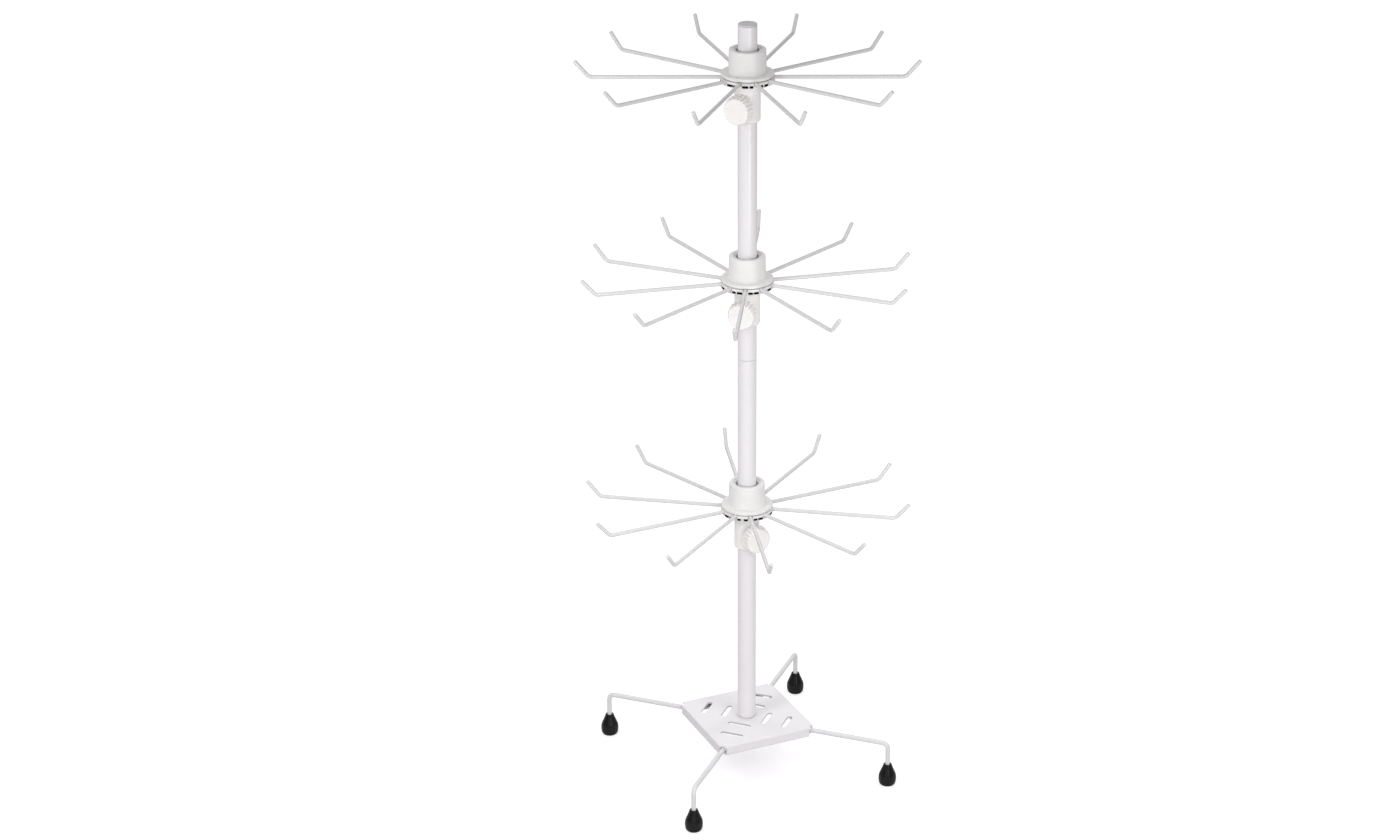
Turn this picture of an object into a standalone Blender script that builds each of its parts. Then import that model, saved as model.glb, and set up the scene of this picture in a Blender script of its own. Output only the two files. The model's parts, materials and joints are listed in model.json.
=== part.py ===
"""Three-tier rotating display rack: a countertop spinner for necklaces and earrings.

Run it with blender --background --python part.py. Metres, +Z up. The origin is on the
pole's axis, at the surface that the four feet stand on. The rack faces -Y.

A square sheet-steel plate carries the pole, and four wire legs push into the channels
under its edges. Each tier is a hub that turns freely on the pole with ten wire hooks in
the ring under it, and a collar that a thumb screw locks at any height holds it up.
"""

import math

import bmesh
import bpy
from mathutils import Matrix, Vector

# Driving dimensions.
GAP = 0.0003  # left between pieces that touch

POLE_RADIUS = 0.0095
POLE_WALL = 0.0010
POLE_JOINT_HEIGHT = 0.4604
JOINER_LENGTH = 0.080
RACK_HEIGHT = 0.8094
CAP_DISC_THICKNESS = 0.0017
CAP_SPIGOT_LENGTH = 0.012

# Each tier: name, height of its hooks, angle of its first hook from +X, and angle of its
# thumb screw from +X. Angles are in degrees.
TIERS = (
    ("top", 0.7554, 0.6, -117.0),
    ("middle", 0.5424, 13.8, -105.0),
    ("bottom", 0.2944, 26.3, -61.0),
)
HOOKS_PER_TIER = 10
HOOK_WIRE_RADIUS = 0.0020
HOOK_REACH = 0.1537  # pole axis to the upward bend
HOOK_TIP_OUT = 0.0140
HOOK_TIP_UP = 0.0162
HOOK_BEND_RADIUS = 0.007

# Heights in a tier are measured from the centre line of its hooks.
HUB_RADIUS = 0.0182
HUB_DRAFT = 0.0005  # how much wider the hub is at its foot
HUB_TOP = 0.0287
HUB_BORE_RADIUS = 0.0118
HUB_RIM_WIDTH = 0.0044
HUB_RECESS = 0.0010
HUB_SPIGOT_RADIUS = 0.0140
HUB_SPIGOT_BOTTOM = -0.0030
FLANGE_RADIUS = 0.0262
FLANGE_TOP = 0.0054
EDGE_ROUND = 0.0007

RING_RADIUS = 0.0267
RING_TOP = 0.0020
RING_BOTTOM = -0.0046
SOCKET_DEPTH = 0.0090
WINDOW_WIDTH = 0.0110
WINDOW_HEIGHT = 0.0024
WINDOW_DEPTH = 0.0050
WINDOW_CENTRE = -0.0024

BUSH_CLEARANCE = 0.0004
BUSH_TOP = 0.0220
BUSH_FLANGE_RADIUS = 0.0139

COLLAR_RADIUS = 0.0129
COLLAR_BOTTOM = -0.0442
COLLAR_ROUND = 0.0021  # of its bottom edge
BOSS_RADIUS = 0.0052
BOSS_FACE = 0.0155  # pole axis to the face of the collar's boss
SCREW_HEIGHT = -0.0286
SCREW_RADIUS = 0.0030
KNOB_RADIUS = 0.0150
KNOB_FLUTES = 22
KNOB_FLUTE_DEPTH = 0.0004  # either side of the radius
KNOB_THICKNESS = 0.0100
KNOB_TAPER = 0.88  # size of the knob's face against its back

PLATE_SIDE = 0.108
PLATE_TOP = 0.0519
PLATE_TURN = -65.0  # degrees about the pole, which puts its corners at -20, 70, 160 and 250
SHEET = 0.0020
LIP_HEIGHT = 0.0106
HEM_WIDTH = 0.0080
CORNER_CUT_RADIUS = 0.0065
RELIEF_RADIUS = 0.0030
SLOT_LENGTH = 0.0250
SLOT_WIDTH = 0.0054
SLOT_DISTANCES = (0.0225, 0.0450)
BOLT_HOLE_RADIUS = 0.0044

LEG_NAMES = ("right", "back", "left", "front")
LEG_WIRE_RADIUS = 0.0025
LEG_REACH = 0.157
LEG_BEND_RADIUS = 0.006
LEG_TANG_LENGTH = 0.070

FOOT_HEIGHT = 0.0234
FOOT_FLOOR = 0.0045  # rubber under the end of the leg

BOLT_RADIUS = 0.0040
BOLT_HEAD_HEIGHT = 0.0055
BOLT_FLANGE_RADIUS = 0.0090
BOLT_FLANGE_HEIGHT = 0.0015
BOLT_ACROSS_FLATS = 0.013
BOLT_LENGTH = 0.0140
PLUG_HEIGHT = 0.0160

# Resolution.
POLE_SEGMENTS = 32
HUB_SEGMENTS = 30
SMALL_SEGMENTS = 16
FOOT_SEGMENTS = 16
SHARP_ANGLE = math.radians(35)
CURVE_SIDES = 2  # bevel resolution: 8 sides round a wire
CUT_PAST = 0.002  # how far a cutter runs past the face it opens

# Worked out from the above.
POLE_BORE_RADIUS = POLE_RADIUS - POLE_WALL
INSERT_RADIUS = POLE_BORE_RADIUS - GAP
LEG_HEIGHT = PLATE_TOP - SHEET - GAP - LEG_WIRE_RADIUS
CHANNEL_INSET = SHEET + GAP + LEG_WIRE_RADIUS  # plate edge to a leg's centre line
HOOK_PITCH = math.radians(360 / HOOKS_PER_TIER)
CORNERS = range(4)
QUARTER_TURN = math.radians(90)


def clear_scene():
    for obj in list(bpy.data.objects):
        bpy.data.objects.remove(obj, do_unlink=True)


def new_collection(name):
    collection = bpy.data.collections.new(name)
    bpy.context.scene.collection.children.link(collection)
    return collection


def new_material(name, colour, roughness, metallic=0.0):
    material = bpy.data.materials.new(name)
    material.use_nodes = True
    shader = material.node_tree.nodes["Principled BSDF"]
    shader.inputs["Base Color"].default_value = (*colour, 1.0)
    shader.inputs["Roughness"].default_value = roughness
    shader.inputs["Metallic"].default_value = metallic
    material.diffuse_color = (*colour, 1.0)
    return material


clear_scene()
RACK = new_collection("rotating_display_rack")
CUTTERS = new_collection("cutters")

WHITE_PAINT = new_material("white_powder_coat", (0.86, 0.86, 0.87), 0.35)
WHITE_PLASTIC = new_material("white_plastic", (0.88, 0.88, 0.88), 0.40)
BUSH_NYLON = new_material("natural_nylon", (0.80, 0.79, 0.76), 0.45)
MILKY_PLASTIC = new_material("milky_plastic", (0.90, 0.90, 0.89), 0.30)
GREY_PLASTIC = new_material("grey_plastic", (0.62, 0.62, 0.63), 0.45)
BLACK_RUBBER = new_material("black_rubber", (0.015, 0.015, 0.016), 0.35)
ZINC_STEEL = new_material("zinc_plated_steel", (0.62, 0.63, 0.65), 0.30, 1.0)


def add_object(name, data, material, parent=None, matrix=None):
    """A visible piece, placed by a matrix in its parent's frame."""
    obj = bpy.data.objects.new(name, data)
    if not data.materials:
        data.materials.append(material)
    RACK.objects.link(obj)
    obj.parent = parent
    obj.matrix_local = matrix or Matrix()
    return obj


def add_cutter(name, mesh, parent=None, matrix=None):
    cutter = bpy.data.objects.new(name, mesh)
    CUTTERS.objects.link(cutter)
    cutter.parent = parent
    cutter.matrix_local = matrix or Matrix()
    cutter.hide_render = True
    cutter.display_type = "WIRE"
    return cutter


def add_empty(name, matrix):
    empty = bpy.data.objects.new(name, None)
    empty.empty_display_size = 0.02
    RACK.objects.link(empty)
    empty.matrix_local = matrix
    return empty


def combine(obj, operand, operation):
    boolean = obj.modifiers.new(operand.name, "BOOLEAN")
    boolean.operation = operation
    boolean.object = operand


def evaluated_mesh(obj):
    bpy.context.view_layer.update()
    graph = bpy.context.evaluated_depsgraph_get()
    return bpy.data.meshes.new_from_object(obj.evaluated_get(graph))


def turned_mesh(name, profile, segments, closed=True):
    """A body of revolution about Z. The profile of (radius, height) points runs down its
    outer side, and closed joins its last point to its first."""
    count = len(profile)
    edges = [(i, i + 1) for i in range(count - 1)]
    if closed:
        edges.append((count - 1, 0))
    outline = bpy.data.meshes.new(name)
    outline.from_pydata([(radius, 0, height) for radius, height in profile], edges, [])
    helper = bpy.data.objects.new(name, outline)
    CUTTERS.objects.link(helper)
    screw = helper.modifiers.new("turn", "SCREW")
    screw.axis = "Z"
    screw.steps = segments
    screw.render_steps = segments
    screw.use_merge_vertices = True
    screw.merge_threshold = 0.00001
    mesh = evaluated_mesh(helper)
    bpy.data.objects.remove(helper)
    bpy.data.meshes.remove(outline)
    mesh.name = name
    mesh.shade_smooth()
    mesh.set_sharp_from_angle(angle=SHARP_ANGLE)
    return mesh


def tube_mesh(name, outer, inner, bottom, top, segments):
    profile = [(outer, top), (outer, bottom), (inner, bottom), (inner, top)]
    return turned_mesh(name, profile, segments)


def bmesh_mesh(name, build):
    """A mesh that build(bm) fills."""
    bm = bmesh.new()
    build(bm)
    mesh = bpy.data.meshes.new(name)
    bm.to_mesh(mesh)
    bm.free()
    return mesh


def add_box(bm, size, centre, turn=0.0):
    """A box of size (x, y, z) about centre, then turned about Z."""
    matrix = Matrix.Rotation(turn, 4, "Z") @ Matrix.Translation(centre) @ Matrix.Diagonal((*size, 1))
    bmesh.ops.create_cube(bm, size=1, matrix=matrix)


def add_cylinder(bm, radius, length, matrix, segments):
    bmesh.ops.create_cone(
        bm, cap_ends=True, segments=segments, radius1=radius, radius2=radius, depth=length, matrix=matrix
    )


def rounded_path(corners, bend_radius, steps):
    """Points along straight runs between corners, with an arc at each inner corner."""
    path = [corners[0]]
    for before, corner, after in zip(corners, corners[1:], corners[2:]):
        back = (before - corner).normalized()
        ahead = (after - corner).normalized()
        half_angle = back.angle(ahead) / 2
        centre = corner + (back + ahead).normalized() * bend_radius / math.sin(half_angle)
        reach = bend_radius / math.tan(half_angle)
        start = (corner + back * reach - centre).normalized()
        end = (corner + ahead * reach - centre).normalized()
        path += [centre + start.slerp(end, step / steps) * bend_radius for step in range(steps + 1)]
    path.append(corners[-1])
    return path


def wire_curve(name, points, radius):
    curve = bpy.data.curves.new(name, "CURVE")
    curve.dimensions = "3D"
    curve.bevel_depth = radius
    curve.bevel_resolution = CURVE_SIDES
    curve.use_fill_caps = True
    spline = curve.splines.new("POLY")
    spline.points.add(len(points) - 1)
    for point, place in zip(spline.points, points):
        point.co = (*place, 1)
    return curve


def flat_mesh(name, outlines, thickness):
    """Flat closed outlines of (x, y) points, thickened equally up and down."""
    curve = bpy.data.curves.new(name, "CURVE")
    curve.dimensions = "2D"
    curve.fill_mode = "BOTH"
    curve.extrude = thickness / 2
    for outline in outlines:
        spline = curve.splines.new("POLY")
        spline.points.add(len(outline) - 1)
        for point, (x, y) in zip(spline.points, outline):
            point.co = (x, y, 0, 1)
        spline.use_cyclic_u = True
    helper = bpy.data.objects.new(name, curve)
    CUTTERS.objects.link(helper)
    mesh = evaluated_mesh(helper)
    bpy.data.objects.remove(helper)
    bpy.data.curves.remove(curve)
    bm = bmesh.new()
    bm.from_mesh(mesh)
    bmesh.ops.remove_doubles(bm, verts=bm.verts, dist=0.00001)
    bmesh.ops.recalc_face_normals(bm, faces=bm.faces)
    bm.to_mesh(mesh)
    bm.free()
    return mesh


def outward(angle, distance, height=0.0):
    """The frame of something that points out from the pole along its own Z axis."""
    turn = Matrix.Rotation(angle, 4, "Z") @ Matrix.Rotation(QUARTER_TURN, 4, "Y")
    return Matrix.Translation((0, 0, height)) @ turn @ Matrix.Translation((0, 0, distance))


# Pole.


def build_pole():
    foot = PLATE_TOP + GAP
    lower_top = POLE_JOINT_HEIGHT - GAP / 2
    upper_bottom = POLE_JOINT_HEIGHT + GAP / 2
    cap_bottom = RACK_HEIGHT - CAP_DISC_THICKNESS
    upper_top = cap_bottom - GAP
    lower = tube_mesh("lower_pole", POLE_RADIUS, POLE_BORE_RADIUS, foot, lower_top, POLE_SEGMENTS)
    upper = tube_mesh("upper_pole", POLE_RADIUS, POLE_BORE_RADIUS, upper_bottom, upper_top, POLE_SEGMENTS)
    add_object("lower_pole", lower, WHITE_PAINT)
    add_object("upper_pole", upper, WHITE_PAINT)

    joiner_low = POLE_JOINT_HEIGHT - JOINER_LENGTH / 2
    joiner_high = POLE_JOINT_HEIGHT + JOINER_LENGTH / 2
    joiner_bore = INSERT_RADIUS - POLE_WALL
    joiner = tube_mesh("pole_joiner", INSERT_RADIUS, joiner_bore, joiner_low, joiner_high, HUB_SEGMENTS)
    add_object("pole_joiner", joiner, ZINC_STEEL)

    cap_profile = [
        (0, RACK_HEIGHT),
        (POLE_RADIUS - EDGE_ROUND, RACK_HEIGHT),
        (POLE_RADIUS, RACK_HEIGHT - EDGE_ROUND),
        (POLE_RADIUS, cap_bottom),
        (INSERT_RADIUS, cap_bottom),
        (INSERT_RADIUS, cap_bottom - CAP_SPIGOT_LENGTH),
        (0, cap_bottom - CAP_SPIGOT_LENGTH),
    ]
    cap = turned_mesh("pole_cap", cap_profile, POLE_SEGMENTS, closed=False)
    add_object("pole_cap", cap, GREY_PLASTIC)

    plug = tube_mesh("base_plug", INSERT_RADIUS, BOLT_RADIUS + GAP, foot, foot + PLUG_HEIGHT, SMALL_SEGMENTS)
    add_object("base_plug", plug, ZINC_STEEL)


def build_base_bolt():
    """A hexagon flange bolt, pushed up through the plate into the pole's plug."""
    seat = PLATE_TOP - SHEET - GAP
    flange_bottom = seat - BOLT_FLANGE_HEIGHT
    profile = [
        (0, seat + BOLT_LENGTH),
        (BOLT_RADIUS, seat + BOLT_LENGTH),
        (BOLT_RADIUS, seat),
        (BOLT_FLANGE_RADIUS, seat),
        (BOLT_FLANGE_RADIUS, flange_bottom),
        (0, flange_bottom),
    ]
    shank = turned_mesh("base_bolt", profile, SMALL_SEGMENTS, closed=False)
    bolt = add_object("base_bolt", shank, ZINC_STEEL)
    overlap = BOLT_FLANGE_HEIGHT / 2
    head_length = BOLT_HEAD_HEIGHT - BOLT_FLANGE_HEIGHT + overlap
    head_centre = flange_bottom + overlap - head_length / 2
    corner_radius = BOLT_ACROSS_FLATS / 2 / math.cos(math.radians(30))
    head_place = Matrix.Translation((0, 0, head_centre))
    head = bmesh_mesh("bolt_head", lambda bm: add_cylinder(bm, corner_radius, head_length, head_place, 6))
    combine(bolt, add_cutter("bolt_head", head), "UNION")


# Base plate, legs and feet.


def stadium(length, width, centre, direction, arc_steps=6):
    """A slot's outline: two half circles joined by straight sides."""
    along = Vector((math.cos(direction), math.sin(direction)))
    points = []
    for end in (0, 1):
        middle = Vector(centre) + along * (length - width) / 2 * (1 - 2 * end)
        for step in range(arc_steps + 1):
            angle = direction + math.pi * (end - 0.5 + step / arc_steps)
            points.append(middle + Vector((math.cos(angle), math.sin(angle))) * width / 2)
    return points


def plate_cutters():
    """The meshes cut from the plate's block, by name. The plate's corners are on its diagonals."""
    half = PLATE_SIDE / 2
    sheet_bottom = PLATE_TOP - SHEET
    plate_bottom = PLATE_TOP - LIP_HEIGHT
    hem_top = plate_bottom + SHEET
    corner_angles = [math.radians(45) + corner * QUARTER_TURN for corner in CORNERS]

    def pocket(bm):
        side = PLATE_SIDE - 2 * SHEET
        add_box(bm, (side, side, sheet_bottom - hem_top), (0, 0, (sheet_bottom + hem_top) / 2))

    def hem_opening(bm):
        side = PLATE_SIDE - 2 * HEM_WIDTH
        low = plate_bottom - CUT_PAST
        high = (sheet_bottom + hem_top) / 2
        add_box(bm, (side, side, high - low), (0, 0, (low + high) / 2))

    def leg_exits(bm):
        low = plate_bottom - CUT_PAST
        for angle in corner_angles:
            distance = half * math.sqrt(2)
            middle = (distance * math.cos(angle), distance * math.sin(angle), (low + sheet_bottom) / 2)
            place = Matrix.Translation(middle)
            add_cylinder(bm, CORNER_CUT_RADIUS, sheet_bottom - low, place, SMALL_SEGMENTS)

    def corner_reliefs(bm):
        for angle in corner_angles:
            distance = (half - SHEET) * math.sqrt(2)
            middle = (distance * math.cos(angle), distance * math.sin(angle), PLATE_TOP)
            add_cylinder(bm, RELIEF_RADIUS, 2 * LIP_HEIGHT, Matrix.Translation(middle), SMALL_SEGMENTS)

    def bolt_hole(bm):
        place = Matrix.Translation((0, 0, PLATE_TOP))
        add_cylinder(bm, BOLT_HOLE_RADIUS, 2 * LIP_HEIGHT, place, SMALL_SEGMENTS)

    cutters = {
        build.__name__: bmesh_mesh(build.__name__, build)
        for build in (pocket, hem_opening, leg_exits, corner_reliefs, bolt_hole)
    }
    slots = []
    for angle in corner_angles:
        for distance in SLOT_DISTANCES:
            centre = (distance * math.cos(angle), distance * math.sin(angle))
            slots.append(stadium(SLOT_LENGTH, SLOT_WIDTH, centre, angle + QUARTER_TURN))
    cutters["slots"] = flat_mesh("slots", slots, 2 * LIP_HEIGHT)
    cutters["slots"].transform(Matrix.Translation((0, 0, PLATE_TOP)))
    return cutters


def build_base_plate():
    """Folded sheet: a flat top, a lip down each edge and a hem turned in under it, which
    make a channel for a leg. The corners are open, so that the legs can come out."""

    def block(bm):
        add_box(bm, (PLATE_SIDE, PLATE_SIDE, LIP_HEIGHT), (0, 0, PLATE_TOP - LIP_HEIGHT / 2))
        fold_edges = [edge for edge in bm.edges if all(vert.co.z > PLATE_TOP - SHEET for vert in edge.verts)]
        bmesh.ops.bevel(bm, geom=fold_edges, offset=SHEET, segments=2, profile=0.5, affect="EDGES")

    turn = Matrix.Rotation(math.radians(PLATE_TURN), 4, "Z")
    plate = add_object("base_plate", bmesh_mesh("base_plate", block), WHITE_PAINT, matrix=turn)
    for name, mesh in plate_cutters().items():
        combine(plate, add_cutter(name, mesh, matrix=turn), "DIFFERENCE")


def leg_curve():
    """A leg whose corner of the plate is on +X: a tang in the channel, a bend, a run out
    along the diagonal, and a drop to the foot."""
    bend = (PLATE_SIDE / 2 - CHANNEL_INSET) * math.sqrt(2)
    channel = math.radians(135)
    corner = Vector((bend, 0, LEG_HEIGHT))
    tang = LEG_TANG_LENGTH * Vector((math.cos(channel), math.sin(channel), 0))
    corners = [
        corner + tang,
        corner,
        Vector((LEG_REACH, 0, LEG_HEIGHT)),
        Vector((LEG_REACH, 0, FOOT_FLOOR + GAP)),
    ]
    return wire_curve("leg", rounded_path(corners, LEG_BEND_RADIUS, 5), LEG_WIRE_RADIUS)


def foot_mesh():
    """A pear-shaped rubber cap, open at the top for the leg."""
    socket = LEG_WIRE_RADIUS + GAP
    profile = [
        (0.0038, FOOT_HEIGHT),
        (0.0050, 0.0214),
        (0.0073, 0.0156),
        (0.0089, 0.0115),
        (0.0093, 0.0083),
        (0.0091, 0.0045),
        (0.0083, 0.0013),
        (0.0073, 0),
        (0, 0),
        (0, FOOT_FLOOR),
        (socket, FOOT_FLOOR),
        (socket, FOOT_HEIGHT),
    ]
    return turned_mesh("foot_cap", profile, FOOT_SEGMENTS)


def build_legs():
    leg = leg_curve()
    foot = foot_mesh()
    for corner, name in enumerate(LEG_NAMES):
        turn = Matrix.Rotation(math.radians(PLATE_TURN + 45) + corner * QUARTER_TURN, 4, "Z")
        add_object(f"leg_{name}", leg, WHITE_PAINT, matrix=turn)
        place = turn @ Matrix.Translation((LEG_REACH, 0, 0))
        add_object(f"foot_cap_{name}", foot, BLACK_RUBBER, matrix=place)


# Tiers.


def hub_mesh():
    """The hub: a thick sleeve with a flange, and a spigot that the ring snaps on to. The
    flange closes the ring's hook sockets from above."""
    rim_inner = HUB_RADIUS - HUB_RIM_WIDTH
    foot = HUB_RADIUS + HUB_DRAFT
    flange_bottom = RING_TOP + GAP
    profile = [
        (rim_inner, HUB_TOP),
        (HUB_RADIUS - EDGE_ROUND, HUB_TOP),
        (HUB_RADIUS, HUB_TOP - EDGE_ROUND),
        (foot, FLANGE_TOP + EDGE_ROUND),
        (foot + EDGE_ROUND, FLANGE_TOP),
        (FLANGE_RADIUS - EDGE_ROUND, FLANGE_TOP),
        (FLANGE_RADIUS, FLANGE_TOP - EDGE_ROUND),
        (FLANGE_RADIUS, flange_bottom),
        (HUB_SPIGOT_RADIUS, flange_bottom),
        (HUB_SPIGOT_RADIUS, HUB_SPIGOT_BOTTOM),
        (HUB_BORE_RADIUS, HUB_SPIGOT_BOTTOM),
        (HUB_BORE_RADIUS, HUB_TOP - HUB_RECESS),
        (rim_inner, HUB_TOP - HUB_RECESS),
    ]
    return turned_mesh("hub", profile, HUB_SEGMENTS)


def bush_mesh():
    """A flanged sleeve bearing: it turns on the pole, and its flange rides on the collar."""
    outer = HUB_BORE_RADIUS - GAP
    bore = POLE_RADIUS + BUSH_CLEARANCE
    flange_top = HUB_SPIGOT_BOTTOM - GAP
    profile = [
        (outer, BUSH_TOP),
        (outer, flange_top),
        (BUSH_FLANGE_RADIUS, flange_top),
        (BUSH_FLANGE_RADIUS, RING_BOTTOM),
        (bore, RING_BOTTOM),
        (bore, BUSH_TOP),
    ]
    return turned_mesh("bush", profile, HUB_SEGMENTS)


def ring_mesh():
    return tube_mesh("arm_ring", RING_RADIUS, HUB_SPIGOT_RADIUS + GAP, RING_BOTTOM, RING_TOP, HUB_SEGMENTS)


def hook_sockets(bm):
    """A blind radial hole for the end of each hook."""
    length = SOCKET_DEPTH + CUT_PAST
    for hook in range(HOOKS_PER_TIER):
        place = outward(hook * HOOK_PITCH, RING_RADIUS + CUT_PAST - length / 2)
        add_cylinder(bm, HOOK_WIRE_RADIUS + GAP, length, place, SMALL_SEGMENTS // 2)


def ring_windows(bm):
    """A shallow window in the ring's rim between each two hooks."""
    depth = WINDOW_DEPTH + CUT_PAST
    centre = (RING_RADIUS + CUT_PAST - depth / 2, 0, WINDOW_CENTRE)
    for hook in range(HOOKS_PER_TIER):
        add_box(bm, (depth, WINDOW_WIDTH, WINDOW_HEIGHT), centre, (hook + 0.5) * HOOK_PITCH)


def hook_curve():
    """A hook that points along +X: a straight arm with its end bent up and out."""
    corners = [
        Vector((RING_RADIUS - SOCKET_DEPTH + GAP, 0, 0)),
        Vector((HOOK_REACH, 0, 0)),
        Vector((HOOK_REACH + HOOK_TIP_OUT, 0, HOOK_TIP_UP)),
    ]
    return wire_curve("hook", rounded_path(corners, HOOK_BEND_RADIUS, 3), HOOK_WIRE_RADIUS)


def collar_mesh():
    bore = POLE_RADIUS + GAP
    top = RING_BOTTOM - GAP
    half_way = math.sqrt(0.5)  # round the quarter circle of the bottom edge
    profile = [
        (COLLAR_RADIUS, top),
        (COLLAR_RADIUS, COLLAR_BOTTOM + COLLAR_ROUND),
        (COLLAR_RADIUS - COLLAR_ROUND * (1 - half_way), COLLAR_BOTTOM + COLLAR_ROUND * (1 - half_way)),
        (COLLAR_RADIUS - COLLAR_ROUND, COLLAR_BOTTOM),
        (bore, COLLAR_BOTTOM),
        (bore, top),
    ]
    return turned_mesh("locking_collar", profile, HUB_SEGMENTS)


def collar_boss(bm):
    """The boss that the thumb screw goes into. It points along +X."""
    start = (POLE_RADIUS + COLLAR_RADIUS) / 2
    place = outward(0, (start + BOSS_FACE) / 2, SCREW_HEIGHT)
    add_cylinder(bm, BOSS_RADIUS, BOSS_FACE - start, place, SMALL_SEGMENTS)


def screw_hole(bm):
    place = outward(0, BOSS_FACE / 2 + CUT_PAST, SCREW_HEIGHT)
    add_cylinder(bm, SCREW_RADIUS + GAP, BOSS_FACE, place, SMALL_SEGMENTS)


def knob_mesh():
    """The fluted head of the thumb screw. Its back is at its own Z = 0, and it tapers to its face."""
    steps = KNOB_FLUTES * 3
    outline = []
    for step in range(steps):
        angle = step * math.tau / steps
        radius = KNOB_RADIUS + KNOB_FLUTE_DEPTH * math.cos(KNOB_FLUTES * angle)
        outline.append((radius * math.cos(angle), radius * math.sin(angle)))
    mesh = flat_mesh("thumb_screw", [outline], KNOB_THICKNESS)
    for vert in mesh.vertices:
        if vert.co.z > 0:
            vert.co.x *= KNOB_TAPER
            vert.co.y *= KNOB_TAPER
    mesh.transform(Matrix.Translation((0, 0, KNOB_THICKNESS / 2)))
    return mesh


def screw_shank(bm):
    """The shank, which starts inside the knob and stops just short of the pole."""
    back = BOSS_FACE + GAP
    end = POLE_RADIUS + GAP - back
    start = KNOB_THICKNESS / 2
    place = Matrix.Translation((0, 0, (start + end) / 2))
    add_cylinder(bm, SCREW_RADIUS, start - end, place, SMALL_SEGMENTS)


def tier_meshes():
    """The shapes that all three tiers share."""
    return {
        "hub": hub_mesh(),
        "bush": bush_mesh(),
        "ring": ring_mesh(),
        "sockets": bmesh_mesh("hook_sockets", hook_sockets),
        "windows": bmesh_mesh("ring_windows", ring_windows),
        "hook": hook_curve(),
        "collar": collar_mesh(),
        "boss": bmesh_mesh("collar_boss", collar_boss),
        "hole": bmesh_mesh("screw_hole", screw_hole),
        "knob": knob_mesh(),
        "shank": bmesh_mesh("screw_shank", screw_shank),
    }


def build_spinner(name, height, hook_angle, shapes):
    """The part of a tier that turns: hub, bush, ring and hooks."""
    place = Matrix.Translation((0, 0, height)) @ Matrix.Rotation(math.radians(hook_angle), 4, "Z")
    spinner = add_empty(f"{name}_spinner", place)
    add_object(f"{name}_hub", shapes["hub"], WHITE_PLASTIC, spinner)
    add_object(f"{name}_bush", shapes["bush"], BUSH_NYLON, spinner)
    ring = add_object(f"{name}_arm_ring", shapes["ring"], WHITE_PLASTIC, spinner)
    combine(ring, add_cutter(f"{name}_sockets", shapes["sockets"], spinner), "DIFFERENCE")
    combine(ring, add_cutter(f"{name}_windows", shapes["windows"], spinner), "DIFFERENCE")
    for hook in range(HOOKS_PER_TIER):
        turn = Matrix.Rotation(hook * HOOK_PITCH, 4, "Z")
        add_object(f"{name}_hook_{hook + 1:02}", shapes["hook"], WHITE_PAINT, spinner, turn)


def build_lock(name, height, screw_angle, shapes):
    """The part of a tier that slides and locks: collar and thumb screw."""
    place = Matrix.Translation((0, 0, height)) @ Matrix.Rotation(math.radians(screw_angle), 4, "Z")
    lock = add_empty(f"{name}_lock", place)
    collar = add_object(f"{name}_locking_collar", shapes["collar"], MILKY_PLASTIC, lock)
    combine(collar, add_cutter(f"{name}_boss", shapes["boss"], lock), "UNION")
    combine(collar, add_cutter(f"{name}_screw_hole", shapes["hole"], lock), "DIFFERENCE")
    axis = outward(0, BOSS_FACE + GAP, SCREW_HEIGHT)
    screw = add_object(f"{name}_thumb_screw", shapes["knob"], MILKY_PLASTIC, lock, axis)
    combine(screw, add_cutter(f"{name}_shank", shapes["shank"], lock, axis), "UNION")


def build_tiers():
    shapes = tier_meshes()
    for name, height, hook_angle, screw_angle in TIERS:
        build_spinner(name, height, hook_angle, shapes)
        build_lock(name, height, screw_angle, shapes)


build_pole()
build_base_bolt()
build_base_plate()
build_legs()
build_tiers()
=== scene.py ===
"""The looks of the three-tier rotating display rack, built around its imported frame.

Lengths are in metres. A tier's pieces are made about the pole's axis, with Z = 0 at the centre
line of its hooks, and a knob's about its own axis, with Z = 0 at its back.
"""

import json
import math

import bmesh
import bpy
from mathutils import Matrix, Vector


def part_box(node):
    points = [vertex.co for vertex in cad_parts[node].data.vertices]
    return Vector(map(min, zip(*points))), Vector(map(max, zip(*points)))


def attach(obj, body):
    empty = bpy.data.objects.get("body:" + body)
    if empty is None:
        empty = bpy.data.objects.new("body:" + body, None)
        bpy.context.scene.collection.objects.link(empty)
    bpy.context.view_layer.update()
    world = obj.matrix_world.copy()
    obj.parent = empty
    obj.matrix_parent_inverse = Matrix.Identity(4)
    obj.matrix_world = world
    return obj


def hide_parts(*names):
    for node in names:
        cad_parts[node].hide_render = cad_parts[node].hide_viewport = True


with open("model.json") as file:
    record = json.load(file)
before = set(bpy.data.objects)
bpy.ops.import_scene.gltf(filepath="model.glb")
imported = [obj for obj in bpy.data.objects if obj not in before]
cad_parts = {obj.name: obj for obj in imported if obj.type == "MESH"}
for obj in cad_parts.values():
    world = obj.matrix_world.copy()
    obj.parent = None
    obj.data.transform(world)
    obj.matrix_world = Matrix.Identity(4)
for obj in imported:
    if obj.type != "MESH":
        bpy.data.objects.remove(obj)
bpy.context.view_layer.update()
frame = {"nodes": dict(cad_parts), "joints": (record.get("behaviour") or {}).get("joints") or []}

MM = 0.001
GAP = 0.3 * MM  # between pieces that touch

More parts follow.
